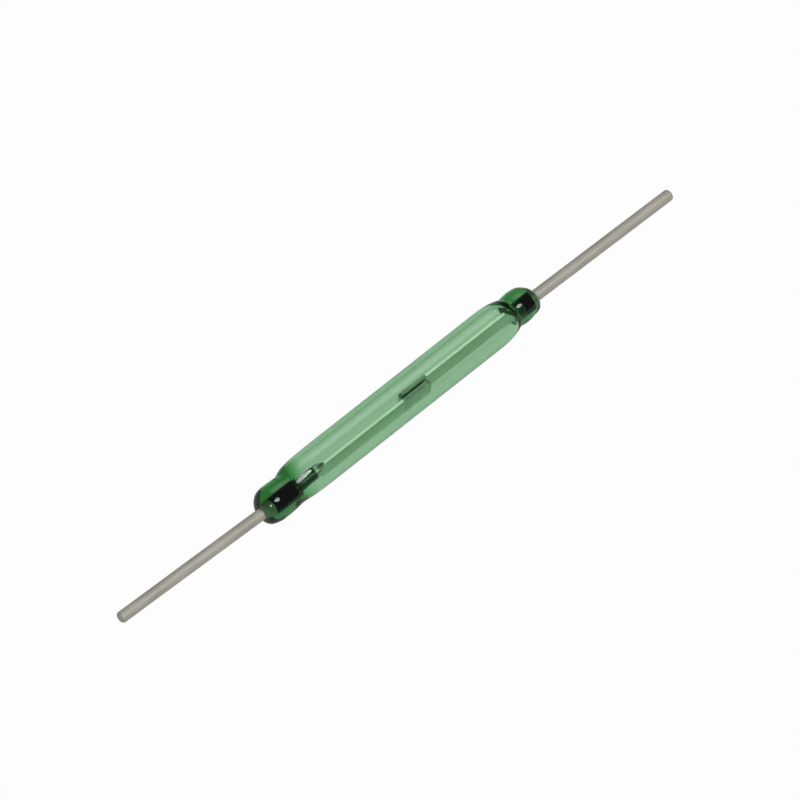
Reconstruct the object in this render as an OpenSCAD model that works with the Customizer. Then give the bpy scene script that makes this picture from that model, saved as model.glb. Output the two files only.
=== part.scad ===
// Glass reed switch: a glass tube melted shut at both ends round a nickel-iron reed.
// Each reed is one wire, round outside as a lead and pressed flat inside as a blade.
// The two blades overlap with a small gap, and a magnet bends them together.
// Origin at the middle of the capsule, +X along it to the right lead, +Z up as it lies.
// The blades stand on edge: their broad faces look along Y, the left one in front.

/* [Capsule] */
// Length of the glass from end to end
glass_len = 20; // [19.5:0.1:24]
// Outside diameter of the tube
tube_d = 2.3; // [2.2:0.05:2.8]
// Thickness of the tube's wall
tube_wall = 0.27; // [0.2:0.01:0.32]

/* [Left end] */
// Length from the left end of the glass to the full tube
left_end_len = 4.4; // [4:0.05:4.8]
// Length of the rounded shoulder at the left end of the tube
left_shoulder_len = 2.5; // [2.2:0.05:2.9]
// Bluntness of the left shoulder, where 2 is an ellipse
left_shoulder_power = 3; // [2:0.1:4]
// Largest diameter of the left bead
left_bead_d = 2.02; // [1.8:0.01:2.2]
// Length of the left bead's rounded outer end
left_bead_tip_len = 1; // [0.7:0.05:1.2]
// Length over which the left bead tapers into the shoulder
left_bead_tail_len = 2.4; // [1.8:0.05:2.6]
// Distance of the left bead's line in front of the capsule's axis
left_bead_offset = 0.14; // [0:0.01:0.2]
// Length of solid glass at the left end
left_seal_len = 2.2; // [2:0.05:2.6]

/* [Right end] */
// Length from the right end of the glass to the full tube
right_end_len = 3.2; // [3:0.05:3.6]
// Length of the rounded shoulder at the right end of the tube
right_shoulder_len = 1.9; // [1.7:0.05:2.2]
// Bluntness of the right shoulder, where 2 is an ellipse
right_shoulder_power = 2; // [1.8:0.1:3]
// Largest diameter of the right bead
right_bead_d = 1.88; // [1.8:0.01:2.1]
// Length of the right bead's rounded outer end
right_bead_tip_len = 1.1; // [0.9:0.05:1.2]
// Length over which the right bead tapers into the shoulder
right_bead_tail_len = 1; // [0.9:0.05:1.4]
// Distance of the right bead's line in front of the capsule's axis
right_bead_offset = -0.03; // [-0.08:0.01:0.08]
// Length of solid glass at the right end
right_seal_len = 1.5; // [1.4:0.05:1.8]

/* [Reeds] */
// Diameter of the round wire
lead_d = 0.64; // [0.5:0.01:0.7]
// Length of each lead outside the glass
lead_len = 9.9; // [5:0.1:15]
// Small chamfer at the cut end of each lead
lead_chamfer = 0.14; // [0.05:0.01:0.2]
// Distance of the reeds' common line in front of the capsule's axis
reed_offset = 0.23; // [0:0.01:0.25]
// Distance of the right wire behind that line, towards its own blade
right_wire_shift = 0.13; // [0:0.01:0.15]
// Bend of the left lead where it leaves the glass, in degrees
left_lead_bend = 1.9; // [0.5:0.1:3]
// Bend of the right lead where it leaves the glass, in degrees
right_lead_bend = 1.1; // [0.5:0.1:3]

/* [Blades] */
// Length of round wire and taper from the left seal to the flat
left_stub_len = 2.1; // [1.8:0.05:2.4]
// Length of round wire and taper from the right seal to the flat
right_stub_len = 0.65; // [0.6:0.05:1.2]
// Width of the blade
blade_w = 0.95; // [0.7:0.05:1.1]
// Thickness of the blade
blade_t = 0.22; // [0.16:0.01:0.26]
// Radius of the blade's tip corners
tip_r = 0.2; // [0.1:0.01:0.3]
// Length of the pressed taper between wire and blade
press_len = 0.45; // [0.3:0.05:0.45]

/* [Contacts] */
// Length over which the blades overlap
overlap = 1.85; // [1.2:0.05:2.5]
// Open gap between the plated faces
contact_gap = 0.1; // [0.04:0.01:0.14]
// Length of plated skin on each blade
plated_len = 1.9; // [1.2:0.05:2.4]
// Thickness of the plated skin
plating = 0.01; // [0.005:0.001:0.02]

/* [Hidden] */
$fn = 64;

tube_r = tube_d / 2;
bore_r = tube_r - tube_wall;
lead_r = lead_d / 2;
half_glass = glass_len / 2;
// Radius along the middle of the wire where a lead bends
lead_bend_r = 0.5;

left_tube_x = left_end_len - half_glass;
right_tube_x = half_glass - right_end_len;

// Where the gas space ends at each seal
left_seal_x = left_seal_len - half_glass;
right_seal_x = half_glass - right_seal_len;

// Where each flat begins, how long both are, and how far the wire then runs to the end of the glass
left_root_x = left_seal_x + left_stub_len;
right_root_x = right_seal_x - right_stub_len;
blade_len = (right_root_x - left_root_x + overlap) / 2;
left_wire_len = half_glass + left_root_x;
right_wire_len = half_glass - right_root_x;

// Place of a blade's inner face and middle, measured from the reeds' common line
face_y = contact_gap / 2 + plating;
blade_y = face_y + blade_t / 2;

// Steps along each rounded stretch of glass
curve_steps = 10;
// Roundness of the beads' ends and of the cavity's ends, where 2 is an ellipse
bead_power = 2.2;
cavity_power = 2.2;
cavity_dome_len = 1.5;
// Radius to which shoulders and bead tails close, buried where the two are one solid
root_r = 0.5;
// Overlap of one solid into the next, so that they join or cut cleanly
lap = 0.05;
hull_fn = 32;

GLASS = [0.52, 0.74, 0.58, 0.45];
TINNED = [0.72, 0.7, 0.66];
NICKEL_IRON = [0.78, 0.8, 0.76];
PLATED = [0.33, 0.35, 0.34];

// Rounded quarter curve that falls from 1 at u = 0 to 0 at u = 1
function dome(u, power) = pow(1 - pow(u, power), 1 / power);

function steps() = [for (i = [0 : curve_steps]) i / curve_steps];

// Points along a quarter curve: radius from r0 at x0 to r1 at x1, rounded at x0
function rounded(x0, r0, x1, r1, power) =
    [for (u = steps()) [r1 + (r0 - r1) * dome(u, power), x0 + (x1 - x0) * u]];

function backwards(points) = [for (i = [len(points) - 1 : -1 : 0]) points[i]];

// Turns a profile of radius and height about the X axis, its height along +X
module turned_along_x() {
    rotate([0, 90, 0])
        rotate_extrude()
            children();
}

// Tube with a rounded shoulder at each end
module capsule_tube() {
    left_close_x = left_tube_x - left_shoulder_len;
    right_close_x = right_tube_x + right_shoulder_len;
    turned_along_x()
        polygon(concat(
            [[0, left_close_x]],
            backwards(rounded(left_tube_x, tube_r, left_close_x, root_r, left_shoulder_power)),
            rounded(right_tube_x, tube_r, right_close_x, root_r, right_shoulder_power),
            [[0, right_close_x]]
        ));
}

// Egg-shaped bead with its outer end at x = 0 and its tail along -X
module bead(bead_d, tip_len, tail_len) {
    turned_along_x()
        polygon(concat(
            [[0, -tip_len - tail_len]],
            backwards(rounded(-tip_len, bead_d / 2, -tip_len - tail_len, root_r, 2)),
            [for (i = [1 : curve_steps]) rounded(-tip_len, bead_d / 2, 0, lead_r, bead_power)[i]],
            [[0, 0]]
        ));
}

// Gas space inside, closed by a dome where the solid seal begins at each end
module capsule_cavity() {
    turned_along_x()
        polygon(concat(
            backwards(rounded(left_seal_x + cavity_dome_len, bore_r, left_seal_x, 0, cavity_power)),
            rounded(right_seal_x - cavity_dome_len, bore_r, right_seal_x, 0, cavity_power)
        ));
}

// Puts a reed, drawn with its flat root at x = 0 and its wire along +X, at its own side
module at_left_reed() {
    translate([left_root_x, -reed_offset, 0])
        rotate([0, 0, 180])
            children();
}

module at_right_reed() {
    translate([right_root_x, -reed_offset, 0])
        children();
}

module wire(from_x, to_x) {
    translate([from_x, 0, 0])
        rotate([0, 90, 0])
            cylinder(r = lead_r, h = to_x - from_x);
}

// Short bend of the wire, from +X at the origin towards -Y
module wire_bend(bend) {
    translate([0, -lead_bend_r, 0])
        rotate([0, 0, 90 - bend])
            rotate_extrude(angle = bend)
                translate([lead_bend_r, 0])
                    circle(r = lead_r);
}

// Puts its children where such a bend ends
module after_wire_bend(bend) {
    translate([0, -lead_bend_r, 0])
        rotate([0, 0, -bend])
            translate([0, lead_bend_r, 0])
                children();
}

// Round part of a reed: its pressed taper, the wire through the seal and the lead outside
module lead(wire_len, bend, shift = 0) {
    straight_len = lead_len - lead_chamfer - lead_bend_r * bend * PI / 180;
    hull($fn = hull_fn) {
        translate([0, face_y, -blade_w / 2])
            cube([lap, blade_t, blade_w]);
        translate([0, shift, 0])
            wire(press_len, press_len + lap);
    }
    translate([0, shift, 0])
        wire(press_len, wire_len);
    translate([wire_len, shift, 0]) {
        wire_bend(bend);
        after_wire_bend(bend) {
            wire(0, straight_len);
            translate([straight_len, 0, 0])
                rotate([0, 90, 0])
                    cylinder(r1 = lead_r, r2 = lead_r - lead_chamfer, h = lead_chamfer);
        }
    }
}

// Outline of a blade in its own plane, grown by the thickness of a skin
module blade_outline(skin = 0) {
    tip_x = -blade_len - skin;
    half_w = blade_w / 2 + skin;
    round_r = tip_r + skin;
    translate([tip_x + round_r, -half_w])
        square([blade_len + skin - round_r, 2 * half_w]);
    translate([tip_x, round_r - half_w])
        square([2 * round_r, 2 * (half_w - round_r)]);
    for (side = [-1, 1])
        translate([tip_x + round_r, side * (half_w - round_r)])
            circle(r = round_r);
}

// Flat strip on edge, with its broad faces along Y and its root at x = 0
module blade(skin = 0) {
    translate([0, blade_y, 0])
        rotate([90, 0, 0])
            linear_extrude(blade_t + 2 * skin, center = true)
                blade_outline(skin);
}

// Plated skin over the last stretch of a blade, on its faces, edges and end
module contact() {
    difference() {
        blade(plating);
        blade();
        translate([plated_len - blade_len, -tube_r, -tube_r])
            cube([blade_len, tube_d, tube_d]);
    }
}

module glass_capsule() {
    color(GLASS)
        difference() {
            union() {
                capsule_tube();
                translate([-half_glass, -left_bead_offset, 0])
                    rotate([0, 0, 180])
                        bead(left_bead_d, left_bead_tip_len, left_bead_tail_len);
                translate([half_glass, -right_bead_offset, 0])
                    bead(right_bead_d, right_bead_tip_len, right_bead_tail_len);
            }
            capsule_cavity();
            at_left_reed()
                wire(0, left_wire_len + lead_d);
            at_right_reed()
                translate([0, right_wire_shift, 0])
                    wire(0, right_wire_len + lead_d);
        }
}

module left_lead() {
    color(TINNED)
        at_left_reed()
            lead(left_wire_len, left_lead_bend);
}

module left_blade() {
    color(NICKEL_IRON)
        at_left_reed()
            blade();
}

module left_contact() {
    color(PLATED)
        at_left_reed()
            contact();
}

module right_lead() {
    color(TINNED)
        at_right_reed()
            lead(right_wire_len, right_lead_bend, right_wire_shift);
}

module right_blade() {
    color(NICKEL_IRON)
        at_right_reed()
            blade();
}

module right_contact() {
    color(PLATED)
        at_right_reed()
            contact();
}

glass_capsule();
left_lead();
left_blade();
left_contact();
right_lead();
right_blade();
right_contact();
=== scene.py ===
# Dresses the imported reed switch: reeds, plated contacts, green glass, floor, light and camera.
import math

import bpy
import numpy as np
from mathutils import Matrix, Vector


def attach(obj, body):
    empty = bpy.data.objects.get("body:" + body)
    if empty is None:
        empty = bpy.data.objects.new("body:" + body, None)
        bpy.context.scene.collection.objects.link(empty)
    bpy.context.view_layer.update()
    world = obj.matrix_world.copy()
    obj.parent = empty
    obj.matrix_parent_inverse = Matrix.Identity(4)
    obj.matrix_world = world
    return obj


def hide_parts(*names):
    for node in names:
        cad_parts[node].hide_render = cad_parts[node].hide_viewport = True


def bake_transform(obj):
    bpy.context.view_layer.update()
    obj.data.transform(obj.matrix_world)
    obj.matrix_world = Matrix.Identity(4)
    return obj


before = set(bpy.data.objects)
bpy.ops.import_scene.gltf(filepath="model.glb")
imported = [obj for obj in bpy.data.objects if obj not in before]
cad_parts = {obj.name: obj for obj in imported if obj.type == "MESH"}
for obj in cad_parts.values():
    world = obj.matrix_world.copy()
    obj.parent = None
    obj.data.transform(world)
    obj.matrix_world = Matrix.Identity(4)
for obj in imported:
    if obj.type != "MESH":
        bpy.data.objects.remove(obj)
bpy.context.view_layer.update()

# Reeds
# Each reed is one length of drawn nickel-iron wire whose inner half is pressed flat as a blade.
# The round half outside is dipped in tin as a lead; the heat of the seal darkens the wire between.
# Sizes are in millimetres, and places along a reed count from the root of its flat, outward.

MM = 0.001
QUARTER_TURN = math.pi / 2
HALF_GLASS = 10.0
REED_Y = -0.23
LEAD_R = 0.32
LEAD_LEN = 9.9
LEAD_TIP_ROUND = 0.14
BLADE_LEN = 7.7
BLADE_HALF_T = 0.11
BLADE_HALF_W = 0.475
BLADE_EDGE_R = 0.025
BLADE_TIP_R = 0.2
BLADE_Y = 0.17
PRESS_LEN = 0.45
PRESS_ROUNDING = 0.6
BRIGHT_PRESS_LEN = 0.62
EDGE_FACES_UP = 0.7

# A corner's radius stays just under the half width, so that no two points of a section meet.
FULLEST_CORNER = 0.985

# The arc of a tip's corner starts just past the rounded edge of the tip.
BLADE_ARC_FROM = 0.55

CORNER_POINTS = 9
EDGE_RINGS = 6
TIP_ARC_RINGS = 12
BLADE_RINGS = 30
PRESS_RINGS = 14
WIRE_RINGS = 45
LEAD_RINGS = 40
LEAD_TIP_RINGS = 7

LEFT = {"name": "left", "root_x": -5.7, "bend": 1.9, "shift": 0.0,
        "black_from": 2.1, "bright_in_glass": 0.7, "half_turn": True}
RIGHT = {"name": "right", "root_x": 7.85, "bend": 1.1, "shift": 0.13,
         "black_from": 1.12, "bright_in_glass": 0.4, "half_turn": False}


def linear(hex_code):
    """Linear RGBA of an sRGB hex colour."""
    parts = [int(hex_code[i:i + 2], 16) / 255 for i in (1, 3, 5)]
    return [c / 12.92 if c <= 0.04045 else ((c + 0.055) / 1.055) ** 2.4 for c in parts] + [1.0]


def add_node(tree, kind, sockets=None, links=None, **settings):
    """Adds one node, sets its options and sockets, and links its inputs from other nodes' outputs."""
    node = tree.nodes.new(kind)
    for name, value in settings.items():
        setattr(node, name, value)
    for name, value in (sockets or {}).items():
        node.inputs[name].default_value = value
    for name, output in (links or {}).items():
        tree.links.new(output, node.inputs[name])
    return node


def new_material(name):
    """An empty material with only its output node."""
    material = bpy.data.materials.new(name)
    material.use_nodes = True
    material.node_tree.nodes.clear()
    return material, material.node_tree, add_node(material.node_tree, "ShaderNodeOutputMaterial")


def set_tones(ramp, low, dark, high, light):
    """Sets the places and the hex colours of a colour ramp's two ends."""
    for end, position, hex_code in zip(ramp.color_ramp.elements, (low, high), (dark, light)):
        end.position = position
        end.color = linear(hex_code)


def lines_along(tree, line_mm, run_mm, detail):
    """A pattern of fine lines that run along the switch, from their spacing and their length."""
    place = add_node(tree, "ShaderNodeTexCoord")
    per_metre = (1 / (run_mm * MM), 1 / (line_mm * MM), 1 / (line_mm * MM))
    stretched = add_node(tree, "ShaderNodeMapping", {"Scale": per_metre},
                         {"Vector": place.outputs["Object"]})
    return add_node(tree, "ShaderNodeTexNoise", {"Scale": 1.0, "Detail": detail},
                    {"Vector": stretched.outputs["Vector"]})


def patches(tree, patch_mm, detail):
    """A pattern of soft patches of one size."""
    place = add_node(tree, "ShaderNodeTexCoord")
    return add_node(tree, "ShaderNodeTexNoise", {"Scale": 1 / (patch_mm * MM), "Detail": detail},
                    {"Vector": place.outputs["Object"]})


def ease(value):
    """Smooth step from 0 to 1."""
    v = np.clip(value, 0.0, 1.0)
    return v * v * (3 - 2 * v)


def section(half_y, half_z, round_r):
    """Points round a rectangle with rounded corners, nearly a circle when all three are equal."""
    r = min(round_r, FULLEST_CORNER * half_y, FULLEST_CORNER * half_z)
    points = []
    for quarter in range(4):
        for angle in np.linspace(0, QUARTER_TURN, CORNER_POINTS) + quarter * QUARTER_TURN:
            side_y = 1 if quarter in (0, 3) else -1
            side_z = 1 if quarter in (0, 1) else -1
            points.append((side_y * (half_y - r) + r * math.cos(angle),
                           side_z * (half_z - r) + r * math.sin(angle)))
    return np.array(points)


def ring_at(x, outline, centre_y=0.0):
    """A ring across the reed at one place along it."""
    return np.column_stack([np.full(len(outline), x), outline[:, 0] + centre_y, outline[:, 1]])


def skin(rings, inside_out=False):
    """Vertices and faces of a closed skin over a row of rings, each end closed by a fan."""
    rings = np.array(rings)
    rows, count = rings.shape[:2]
    verts = np.vstack([rings.reshape(-1, 3), rings[0].mean(axis=0), rings[-1].mean(axis=0)])
    faces = []
    for row in range(rows - 1):
        for k in range(count):
            a = row * count + k
            b = row * count + (k + 1) % count
            faces.append((a, b, b + count, a + count))
    last = (rows - 1) * count
    for k in range(count):
        after = (k + 1) % count
        faces.append((rows * count, after, k))
        faces.append((rows * count + 1, last + k, last + after))
    if inside_out:
        faces = [tuple(reversed(f)) for f in faces]
    return verts, faces


def mesh_object(name, verts, faces, sharp_degrees=50):
    """A smooth-shaded mesh object from vertices in millimetres."""
    mesh = bpy.data.meshes.new(name)
    mesh.from_pydata((np.array(verts) * MM).tolist(), [], faces)
    mesh.shade_smooth()
    mesh.set_sharp_from_angle(angle=math.radians(sharp_degrees))
    mesh.validate()
    piece = bpy.data.objects.new(name, mesh)
    bpy.context.collection.objects.link(piece)
    return piece


def shade_flats(piece):
    """Keeps flat faces flat to the eye beside their rounded edges."""
    shading = piece.modifiers.new("flat faces shade flat", "WEIGHTED_NORMAL")
    shading.keep_sharp = True


def tip_rings(end_x, half_t, half_w, edge_r, tip_r, arc_from):
    """Rings over the tip of a blade: its rounded end edge, then the arcs of its two corners."""
    rings = []
    for step in np.sin(np.linspace(0, QUARTER_TURN, EDGE_RINGS))[:-1]:
        x = end_x + edge_r * step
        shrink = edge_r * (1 - math.sqrt(1 - (1 - step) ** 2))
        corner = math.sqrt(max(tip_r ** 2 - (end_x + tip_r - x) ** 2, 0))
        tip_w = half_w - tip_r + corner
        rings.append(ring_at(x, section(half_t - shrink, tip_w - shrink, edge_r), BLADE_Y))
    for turn in np.linspace(arc_from, QUARTER_TURN, TIP_ARC_RINGS):
        x = end_x + tip_r * (1 - math.cos(turn))
        tip_w = half_w - tip_r * (1 - math.sin(turn))
        rings.append(ring_at(x, section(half_t, tip_w, edge_r), BLADE_Y))
    return rings


def reed_rings(wire_len, bend_degrees, shift):
    """Rings of a reed from the blade's end to the lead's end, with its flat root at x = 0."""
    rings = tip_rings(-BLADE_LEN, BLADE_HALF_T, BLADE_HALF_W, BLADE_EDGE_R, BLADE_TIP_R, BLADE_ARC_FROM)
    flat_section = section(BLADE_HALF_T, BLADE_HALF_W, BLADE_EDGE_R)
    for x in np.linspace(-BLADE_LEN + BLADE_TIP_R, 0, BLADE_RINGS)[1:]:
        rings.append(ring_at(x, flat_section, BLADE_Y))
    for u in np.linspace(0, 1, PRESS_RINGS)[1:]:
        flat = 1 - ease(u)
        half_y = LEAD_R + (BLADE_HALF_T - LEAD_R) * flat
        half_z = LEAD_R + (BLADE_HALF_W - LEAD_R) * flat
        round_r = LEAD_R + (BLADE_EDGE_R - LEAD_R) * flat ** PRESS_ROUNDING
        centre_y = shift + (BLADE_Y - shift) * flat
        rings.append(ring_at(PRESS_LEN * u, section(half_y, half_z, round_r), centre_y))
    circle = section(LEAD_R, LEAD_R, LEAD_R)
    for x in np.linspace(PRESS_LEN, wire_len, WIRE_RINGS)[1:]:
        rings.append(ring_at(x, circle, shift))
    lead = [(x, 1.0) for x in np.linspace(0, LEAD_LEN - LEAD_TIP_ROUND, LEAD_RINGS)[1:]]
    for turn in np.linspace(0, QUARTER_TURN, LEAD_TIP_RINGS)[1:]:
        lead.append((LEAD_LEN - LEAD_TIP_ROUND * (1 - math.sin(turn)),
                     1 - LEAD_TIP_ROUND * (1 - math.cos(turn)) / LEAD_R))
    turn_back = np.array(Matrix.Rotation(-math.radians(bend_degrees), 3, "Z"))
    for x, share in lead:
        ring = ring_at(x, circle * share) @ turn_back.T
        rings.append(ring + np.array([wire_len, shift, 0]))
    return np.array(rings)


def tinned_wire():
    """Hot tin on drawn wire: a dull warm-grey metal with fine lines along its length and faint stains."""
    material, tree, output = new_material("tinned_nickel_iron_wire")
    # Real drawing lines are a few thousandths of a millimetre apart; these are coarser, so that they show.
    lines = lines_along(tree, line_mm=0.07, run_mm=3.0, detail=3.0)
    stains = patches(tree, patch_mm=1.4, detail=4.0)
    line_depth_mm = 0.004
    mixed = add_node(tree, "ShaderNodeMath", {}, {0: lines.outputs["Fac"], 1: stains.outputs["Fac"]},
                     operation="ADD")
    halved = add_node(tree, "ShaderNodeMath", {1: 0.5}, {0: mixed.outputs[0]}, operation="MULTIPLY")
    tone = add_node(tree, "ShaderNodeValToRGB", links={"Fac": halved.outputs[0]})
    set_tones(tone, 0.36, "#ccc8bd", 0.64, "#e1ddd1")
    rough = add_node(tree, "ShaderNodeMapRange",
                     {"From Min": 0.3, "From Max": 0.7, "To Min": 0.6, "To Max": 0.72},
                     {"Value": stains.outputs["Fac"]})
    bump = add_node(tree, "ShaderNodeBump", {"Strength": 0.25, "Distance": line_depth_mm * MM},
                    {"Height": lines.outputs["Fac"]})
    surface = add_node(tree, "ShaderNodeBsdfPrincipled", {"Metallic": 0.55},
                       {"Base Color": tone.outputs["Color"], "Roughness": rough.outputs["Result"],
                        "Normal": bump.outputs["Normal"]})
    tree.links.new(surface.outputs["BSDF"], output.inputs["Surface"])
    return material


def sealed_wire():
    """Nickel-iron oxidised by the sealing flame: a nearly black skin, matt where the glass wetted it."""
    material, tree, output = new_material("oxidised_nickel_iron_wire")
    oxide = patches(tree, patch_mm=0.25, detail=4.0)
    tone = add_node(tree, "ShaderNodeValToRGB", links={"Fac": oxide.outputs["Fac"]})
    set_tones(tone, 0.35, "#0c0f0d", 0.65, "#171b18")
    surface = add_node(tree, "ShaderNodeBsdfPrincipled", {"Metallic": 1.0, "Roughness": 0.5},
                       {"Base Color": tone.outputs["Color"]})
    tree.links.new(surface.outputs["BSDF"], output.inputs["Surface"])
    return material


def stained_stub():
    """Nickel-iron in the gas beside the seal: darkened by the heat, still a metal, with soft tints."""
    material, tree, output = new_material("heat_stained_nickel_iron")
    tints = patches(tree, patch_mm=0.4, detail=2.0)
    tone = add_node(tree, "ShaderNodeValToRGB", links={"Fac": tints.outputs["Fac"]})
    set_tones(tone, 0.35, "#525d55", 0.65, "#66726a")
    surface = add_node(tree, "ShaderNodeBsdfPrincipled", {"Metallic": 1.0, "Roughness": 0.4},
                       {"Base Color": tone.outputs["Color"]})
    tree.links.new(surface.outputs["BSDF"], output.inputs["Surface"])
    return material


def sheared_edge():
    """The blade's narrow edges: clean bright nickel-iron burnished by the shear, with fine lines along."""
    material, tree, output = new_material("sheared_nickel_iron_edge")
    # The real lines of the shear are finer still; they are drawn coarser, so that they show.
    lines = lines_along(tree, line_mm=0.03, run_mm=1.0, detail=2.0)
    tone = add_node(tree, "ShaderNodeValToRGB", links={"Fac": lines.outputs["Fac"]})
    set_tones(tone, 0.3, "#eceee8", 0.7, "#fafbf7")
    surface = add_node(tree, "ShaderNodeBsdfPrincipled", {"Metallic": 1.0, "Roughness": 0.12},
                       {"Base Color": tone.outputs["Color"]})
    tree.links.new(surface.outputs["BSDF"], output.inputs["Surface"])
    return material


def pressed_blade():
    """Pressed nickel-iron: a pale, slightly green, hazy metal with fine roll lines along the blade."""
    material, tree, output = new_material("pressed_nickel_iron")
    # Real roll lines are a few thousandths of a millimetre apart; these are coarser, so that they show.
    lines = lines_along(tree, line_mm=0.05, run_mm=2.5, detail=2.0)
    line_depth_mm = 0.002
    tone = add_node(tree, "ShaderNodeValToRGB", links={"Fac": lines.outputs["Fac"]})
    set_tones(tone, 0.3, "#c0d2c1", 0.7, "#d4e6d5")
    bump = add_node(tree, "ShaderNodeBump", {"Strength": 0.2, "Distance": line_depth_mm * MM},
                    {"Height": lines.outputs["Fac"]})
    surface = add_node(tree, "ShaderNodeBsdfPrincipled", {"Metallic": 1.0, "Roughness": 0.4},
                       {"Base Color": tone.outputs["Color"], "Normal": bump.outputs["Normal"]})
    tree.links.new(surface.outputs["BSDF"], output.inputs["Surface"])
    return material


REED_FINISHES = [tinned_wire(), sealed_wire(), stained_stub(), sheared_edge(), pressed_blade()]
TINNED, SEALED, STAINED, SHEARED, PRESSED = range(len(REED_FINISHES))


def placed(points, side):
    """Points of a reed moved to its own side of the switch."""
    sign = -1 if side["half_turn"] else 1
    turned = np.array(points) * np.array([sign, sign, 1])
    return turned + np.array([side["root_x"], REED_Y, 0])


def make_reed(side):
    """One reed as one mesh with its finishes along it, its lead turned a little where it leaves the glass.
    """
    wire_len = HALF_GLASS - abs(side["root_x"])
    rings = reed_rings(wire_len, side["bend"], side["shift"])
    along = rings[:, :, 0].mean(axis=1)
    verts, faces = skin(rings)
    reed = mesh_object(side["name"] + "_reed", placed(verts, side), faces)
    for finish in REED_FINISHES:
        reed.data.materials.append(finish)
    count = rings.shape[1]
    for face in reed.data.polygons:
        x = along[min(min(face.vertices) // count, len(along) - 1)]
        if x >= wire_len - side["bright_in_glass"]:
            face.material_index = TINNED
        elif x >= side["black_from"]:
            face.material_index = SEALED
        elif x >= BRIGHT_PRESS_LEN:
            face.material_index = STAINED
        elif x < 0 and abs(face.normal.z) > EDGE_FACES_UP:
            face.material_index = SHEARED
        else:
            face.material_index = PRESSED
    shade_flats(reed)
    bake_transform(reed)
    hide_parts(side["name"] + "_lead", side["name"] + "_blade")


for side in (LEFT, RIGHT):
    make_reed(side)

# Contacts
# The last stretch of each blade is plated with a hard platinum-group metal, on all its faces.
# The plating is a thin skin on the blade and moves with it.

PLATING = 0.01
PLATED_LEN = 1.9
PLATED_RINGS = 12
CONTACT_ARC_FROM = 0.6

# Where the plating stops, its last ring closes just under the blade's own skin.
CLOSE_LEN = 0.005
UNDER_BLADE = 0.98


def contact_plating():
    """Electroplated platinum-group metal: a hazy grey-green sheen with a faint cloudy tone."""
    material, tree, output = new_material("dark_contact_plating")
    clouds = patches(tree, patch_mm=0.35, detail=3.0)
    tone = add_node(tree, "ShaderNodeValToRGB", links={"Fac": clouds.outputs["Fac"]})
    set_tones(tone, 0.35, "#b4c4b6", 0.65, "#c6d7c8")
    surface = add_node(tree, "ShaderNodeBsdfPrincipled", {"Metallic": 1.0, "Roughness": 0.4},
                       {"Base Color": tone.outputs["Color"]})
    tree.links.new(surface.outputs["BSDF"], output.inputs["Surface"])
    return material


def contact_rings():
    """Rings of the plated skin from the blade's end to where the plating stops."""
    half_t = BLADE_HALF_T + PLATING
    half_w = BLADE_HALF_W + PLATING
    edge_r = BLADE_EDGE_R + PLATING
    tip_r = BLADE_TIP_R + PLATING
    end_x = -BLADE_LEN - PLATING
    stop_x = -BLADE_LEN + PLATED_LEN
    rings = tip_rings(end_x, half_t, half_w, edge_r, tip_r, CONTACT_ARC_FROM)
    for x in np.linspace(end_x + tip_r, stop_x, PLATED_RINGS)[1:]:
        rings.append(ring_at(x, section(half_t, half_w, edge_r), BLADE_Y))
    blade_section = section(BLADE_HALF_T, BLADE_HALF_W, BLADE_EDGE_R)
    rings.append(ring_at(stop_x + CLOSE_LEN, blade_section * UNDER_BLADE, BLADE_Y))
    return np.array(rings)


def make_contact(side, finish):
    """The plated skin of one blade."""
    verts, faces = skin(contact_rings())
    contact = mesh_object(side["name"] + "_contact_plating", placed(verts, side), faces)
    contact.data.materials.append(finish)
    shade_flats(contact)
    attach(contact, side["name"] + "_reed")
    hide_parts(side["name"] + "_contact")


PLATED = contact_plating()
for side in (LEFT, RIGHT):
    make_contact(side, PLATED)

# Glass capsule
# A drawn tube of green infrared-absorbing glass, melted shut round the wire at each end in a gas fill.
# Each end runs from the tube through a soft shoulder and a shallow neck to a bead drawn in to the wire.

TUBE_R = 1.15
BORE_R = 0.88
ROOT_R = 0.5
BEAD_POWER = 2.2
BEAD_TAIL_POWER = 2
DRAWN_IN_FROM = 0.4
CAVITY_DOME_LEN = 1.5
CAVITY_END_R = 0.004
CAVITY_DRAW_RATE = 1.4
GLASS_SHARP_DEGREES = 80
GLASS_SEGMENTS = 192
SHOULDER_RINGS = 90
BEAD_TIP_RINGS = 26
TUBE_RINGS = 14
DOME_RINGS = 30
LEFT_END = {"sign": -1, "tube_x": -5.6, "shoulder_len": 2.5, "shoulder_power": 3.0, "neck_blend": 0.16,
            "bead_r": 1.01, "bead_y": -0.14, "tip_len": 1.0, "tail_len": 2.4,
            "wire_y": REED_Y - LEFT["shift"], "seal_x": -7.8, "cavity_power": 1.5}
RIGHT_END = {"sign": 1, "tube_x": 6.8, "shoulder_len": 1.9, "shoulder_power": 2.0, "neck_blend": 0.1,
             "bead_r": 0.94, "bead_y": 0.03, "tip_len": 1.1, "tail_len": 1.0,
             "wire_y": REED_Y + RIGHT["shift"], "seal_x": 8.5, "cavity_power": 2.2}
AROUND = np.linspace(0, 2 * math.pi, GLASS_SEGMENTS, endpoint=False)


def dome(u, power):
    """Rounded quarter curve from 1 at u = 0 to 0 at u = 1."""
    return float((1 - np.clip(u, 0, 1) ** power) ** (1 / power))


def polar(radius, centre_y, turn):
    """Distance from the tube's axis to a circle about another line, in one direction."""
    return centre_y * math.cos(turn) + math.sqrt(max(radius ** 2 - (centre_y * math.sin(turn)) ** 2, 0))


def soft_max(a, b, width):
    """The larger of two values, rounded where they are nearly equal."""
    h = max(width - abs(a - b), 0) / width
    return max(a, b) + h * h * width / 4


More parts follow.
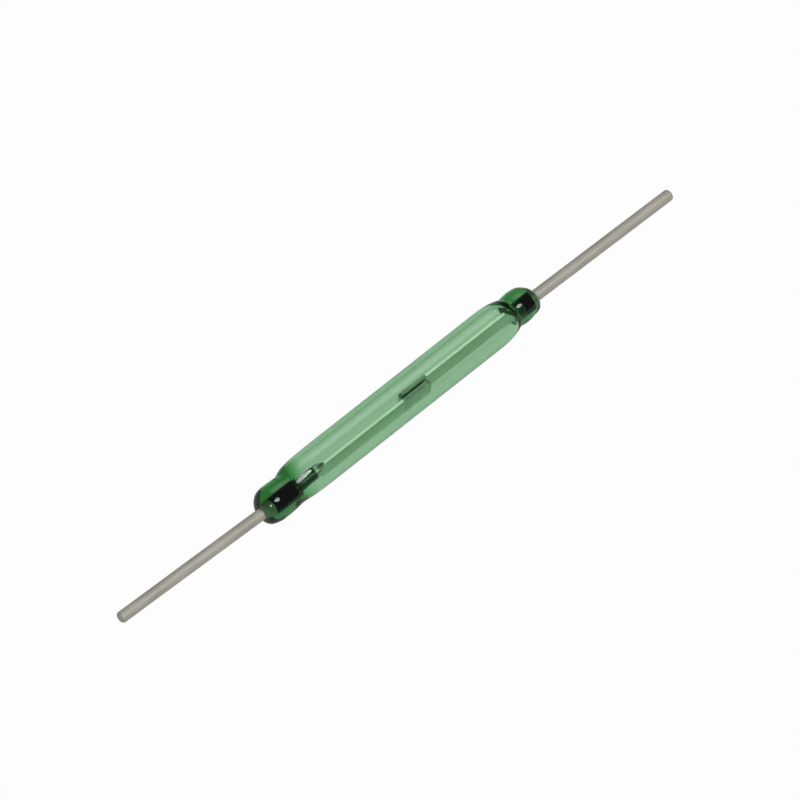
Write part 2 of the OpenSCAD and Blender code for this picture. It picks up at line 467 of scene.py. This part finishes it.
def glass_radius(x, end, turn):
    """Outside of the glass in one direction at one place near an end."""
    out = end["sign"] * x
    tube_at = (out - end["sign"] * end["tube_x"]) / end["shoulder_len"]
    tube = ROOT_R + (TUBE_R - ROOT_R) * dome(max(tube_at, 0), end["shoulder_power"])
    beyond = out - (HALF_GLASS - end["tip_len"])
    if beyond >= 0:
        tip_at = beyond / end["tip_len"]
        bead = LEAD_R + (end["bead_r"] - LEAD_R) * dome(tip_at, BEAD_POWER)
        drawn_in = float(ease((tip_at - DRAWN_IN_FROM) / (1 - DRAWN_IN_FROM)))
    else:
        bead = ROOT_R + (end["bead_r"] - ROOT_R) * dome(-beyond / end["tail_len"], BEAD_TAIL_POWER)
        drawn_in = 0.0
    bead_y = end["bead_y"] + (end["wire_y"] - end["bead_y"]) * drawn_in
    bead_polar = polar(bead, bead_y, turn)
    if tube_at >= 1:
        return bead_polar
    if -beyond >= end["tail_len"]:
        return tube
    return soft_max(tube, bead_polar, end["neck_blend"])


def end_places(end):
    """Places along the axis from the tube to the tip of one end, close together where the glass curves."""
    bead_x = HALF_GLASS - end["tip_len"]
    shoulder = np.linspace(abs(end["tube_x"]), bead_x, SHOULDER_RINGS, endpoint=False)
    tip = bead_x + end["tip_len"] * np.sin(np.linspace(0, QUARTER_TURN, BEAD_TIP_RINGS))
    return end["sign"] * np.concatenate([shoulder, tip])


def glass_ring(x, radius, shift=0.0):
    """A ring of glass at one place along the axis, with one radius or one for each direction."""
    y = radius * np.cos(AROUND) + shift
    z = radius * np.sin(AROUND)
    return np.column_stack([np.full(len(AROUND), x), y, z])


def outside_rings():
    """Rings of the capsule's outside from the left tip to the right tip."""
    rows = [(x, LEFT_END) for x in end_places(LEFT_END)[::-1]]
    tube = np.linspace(LEFT_END["tube_x"], RIGHT_END["tube_x"], TUBE_RINGS)[1:-1]
    rows += [(x, RIGHT_END) for x in tube]
    rows += [(x, RIGHT_END) for x in end_places(RIGHT_END)]
    return [glass_ring(x, np.array([glass_radius(x, end, turn) for turn in AROUND])) for x, end in rows]


def cavity_end(end):
    """Places, radii and shifts of one domed end of the gas space, drawn to the wire as it closes."""
    rows = []
    for u in np.sin(np.linspace(0, QUARTER_TURN, DOME_RINGS)):
        x = end["seal_x"] - end["sign"] * CAVITY_DOME_LEN * (1 - u)
        radius = max(BORE_R * dome(u, end["cavity_power"]), CAVITY_END_R)
        drawn = float(ease(1 - CAVITY_DRAW_RATE * (1 - u)))
        rows.append((x, radius, end["wire_y"] * drawn))
    return rows


def cavity_rings():
    """Rings of the gas space, domed at each seal."""
    left = cavity_end(LEFT_END)[::-1]
    right = cavity_end(RIGHT_END)
    middle = [(x, BORE_R, 0.0) for x in np.linspace(left[-1][0], right[0][0], TUBE_RINGS)[1:-1]]
    return [glass_ring(x, radius, shift) for x, radius, shift in left + middle + right]


def green_glass():
    """Fire-polished green glass: clear and glossy, pale in the thin wall, deep green in the solid ends."""
    material, tree, output = new_material("green_infrared_absorbing_glass")
    waves = lines_along(tree, line_mm=0.5, run_mm=6.0, detail=1.0)
    polish = add_node(tree, "ShaderNodeMapRange",
                      {"From Min": 0.3, "From Max": 0.7, "To Min": 0.01, "To Max": 0.04},
                      {"Value": waves.outputs["Fac"]})
    surface = add_node(tree, "ShaderNodeBsdfPrincipled",
                       {"Base Color": linear("#ffffff"), "IOR": 1.52, "Transmission Weight": 1.0},
                       {"Roughness": polish.outputs["Result"]})
    absorbed_per_metre = 1800.0
    body = add_node(tree, "ShaderNodeVolumeAbsorption",
                    {"Color": linear("#00c452"), "Density": absorbed_per_metre})
    tree.links.new(surface.outputs["BSDF"], output.inputs["Surface"])
    tree.links.new(body.outputs["Volume"], output.inputs["Volume"])
    return material


outer_verts, outer_faces = skin(outside_rings())
inner_verts, inner_faces = skin(cavity_rings(), inside_out=True)
inner_faces = [tuple(v + len(outer_verts) for v in f) for f in inner_faces]
capsule = mesh_object("glass_capsule_body", np.vstack([outer_verts, inner_verts]),
                      outer_faces + inner_faces, GLASS_SHARP_DEGREES)
capsule.data.materials.append(green_glass())
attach(capsule, "capsule")
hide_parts("glass_capsule")

# Floor
# A sheet of white paper on the table, which the tube lies on.
# It is plain white to the camera, and metal and glass show part of that white.

FLOOR_Z = -TUBE_R * MM
FLOOR_HALF = 1.5
FLOOR_CORNERS = [(-1, -1), (1, -1), (1, 1), (-1, 1)]
WHITE_SHARE = {"Is Camera Ray": 0.97, "Is Glossy Ray": 0.15, "Is Transmission Ray": 0.74}


def white_sheet():
    """White paper: an even white with a faint shadow, and a fine fibre tone in the light it gives back."""
    material, tree, output = new_material("white_paper_sheet")
    path = add_node(tree, "ShaderNodeLightPath")
    shares = [add_node(tree, "ShaderNodeMath", {1: share}, {0: path.outputs[ray]}, operation="MULTIPLY")
              for ray, share in WHITE_SHARE.items()]
    largest = shares[0]
    for other in shares[1:]:
        largest = add_node(tree, "ShaderNodeMath", {}, {0: largest.outputs[0], 1: other.outputs[0]},
                           operation="MAXIMUM")
    # Real fibres are some hundredths of a millimetre thick; these are coarser, so that they show.
    fibres = patches(tree, patch_mm=0.4, detail=2.0)
    tone = add_node(tree, "ShaderNodeValToRGB", links={"Fac": fibres.outputs["Fac"]})
    set_tones(tone, 0.0, "#d0d0d0", 1.0, "#d8d8d8")
    paper = add_node(tree, "ShaderNodeBsdfDiffuse", {}, {"Color": tone.outputs["Color"]})
    white = add_node(tree, "ShaderNodeEmission", {"Color": linear("#ffffff"), "Strength": 1.0})
    both = add_node(tree, "ShaderNodeMixShader", {},
                    {"Fac": largest.outputs[0], 1: paper.outputs["BSDF"], 2: white.outputs["Emission"]})
    tree.links.new(both.outputs["Shader"], output.inputs["Surface"])
    return material


floor_mesh = bpy.data.meshes.new("table_sheet")
floor_verts = [(x * FLOOR_HALF, y * FLOOR_HALF, FLOOR_Z) for x, y in FLOOR_CORNERS]
floor_mesh.from_pydata(floor_verts, [], [(0, 1, 2, 3)])
floor_mesh.materials.append(white_sheet())
floor = bpy.data.objects.new("table_sheet", floor_mesh)
bpy.context.collection.objects.link(floor)

# Light
# A dim room with a lit wall behind and two soft round lamps overhead, in front and beside the camera.
# The lamps' small reflections are the white dots on the left bead.

WALL_DIRECTION = (0.444, 0.441, 0.78)
WALL_HALF_ANGLE = math.radians(19)
WALL_STRENGTH = 1.2
LAMP_DISTANCE = 1.5
LAMPS = [
    {"name": "soft_lamp_in_front", "direction": (0.16, -0.49, 0.86), "diameter": 0.56, "watts": 6.4},
    {"name": "soft_lamp_by_camera", "direction": (-0.46, -0.44, 0.77), "diameter": 0.34, "watts": 4.0},
]


def dim_room():
    """A dim grey room, a little paler overhead, with a soft white glow where the lit wall is."""
    world = bpy.data.worlds.new("dim_room")
    world.use_nodes = True
    tree = world.node_tree
    tree.nodes.clear()
    output = add_node(tree, "ShaderNodeOutputWorld")
    place = add_node(tree, "ShaderNodeTexCoord")
    height = add_node(tree, "ShaderNodeSeparateXYZ", links={"Vector": place.outputs["Generated"]})
    tone = add_node(tree, "ShaderNodeValToRGB", links={"Fac": height.outputs["Z"]})
    set_tones(tone, 0.0, "#606060", 1.0, "#6c6c6a")
    room = add_node(tree, "ShaderNodeBackground", {"Strength": 1.0}, {"Color": tone.outputs["Color"]})
    toward_wall = add_node(tree, "ShaderNodeVectorMath", {1: WALL_DIRECTION},
                           {0: place.outputs["Generated"]}, operation="DOT_PRODUCT")
    glow = add_node(tree, "ShaderNodeMapRange",
                    {"From Min": math.cos(WALL_HALF_ANGLE), "From Max": 1.0,
                     "To Min": 0.0, "To Max": WALL_STRENGTH},
                    {"Value": toward_wall.outputs["Value"]}, interpolation_type="SMOOTHSTEP")
    wall = add_node(tree, "ShaderNodeBackground", {"Color": linear("#ffffff")},
                    {"Strength": glow.outputs["Result"]})
    both = add_node(tree, "ShaderNodeAddShader", {},
                    {0: room.outputs["Background"], 1: wall.outputs["Background"]})
    tree.links.new(both.outputs["Shader"], output.inputs["Surface"])
    return world


def add_lamp(name, direction, diameter, watts):
    """A round lamp in one direction from the switch, turned to it."""
    data = bpy.data.lights.new(name, "AREA")
    data.shape = "DISK"
    data.size = diameter
    data.energy = watts
    lamp = bpy.data.objects.new(name, data)
    lamp.location = Vector(direction) * LAMP_DISTANCE
    lamp.rotation_euler = (-Vector(direction)).to_track_quat("-Z", "Y").to_euler()
    bpy.context.collection.objects.link(lamp)


bpy.context.scene.world = dim_room()
for lamp in LAMPS:
    add_lamp(**lamp)

# Camera
# It stands to the left and in front, a little over half way up, and looks along a long lens.
# The lens and the shift come from the size of a millimetre in the picture and from where the origin lies.

AZIMUTH = math.radians(-45.2)
ELEVATION = math.radians(51.4)
DISTANCE = 1.0
SENSOR_MM = 36.0
PIXELS = 800
PIXELS_PER_MM = 19.42
ORIGIN_PIXEL = (395.9, 403.4)

back = Vector((math.sin(AZIMUTH) * math.cos(ELEVATION), -math.cos(AZIMUTH) * math.cos(ELEVATION),
               math.sin(ELEVATION)))
to_right = Vector((math.cos(AZIMUTH), math.sin(AZIMUTH), 0))
to_top = back.cross(to_right)
across = (PIXELS / 2 - ORIGIN_PIXEL[0]) / PIXELS_PER_MM * MM
up = (ORIGIN_PIXEL[1] - PIXELS / 2) / PIXELS_PER_MM * MM
camera_data = bpy.data.cameras.new("camera")
camera_data.sensor_width = SENSOR_MM
camera_data.lens = SENSOR_MM * DISTANCE / (PIXELS / PIXELS_PER_MM * MM)
camera_data.clip_start = 0.01
camera_data.clip_end = 10.0
camera = bpy.data.objects.new("camera", camera_data)
camera.location = back * DISTANCE + to_right * across + to_top * up
camera.rotation_mode = "QUATERNION"
camera.rotation_quaternion = (-back).to_track_quat("-Z", "Y")
bpy.context.collection.objects.link(camera)
bpy.context.scene.camera = camera
bpy.context.scene.view_settings.view_transform = "Standard"
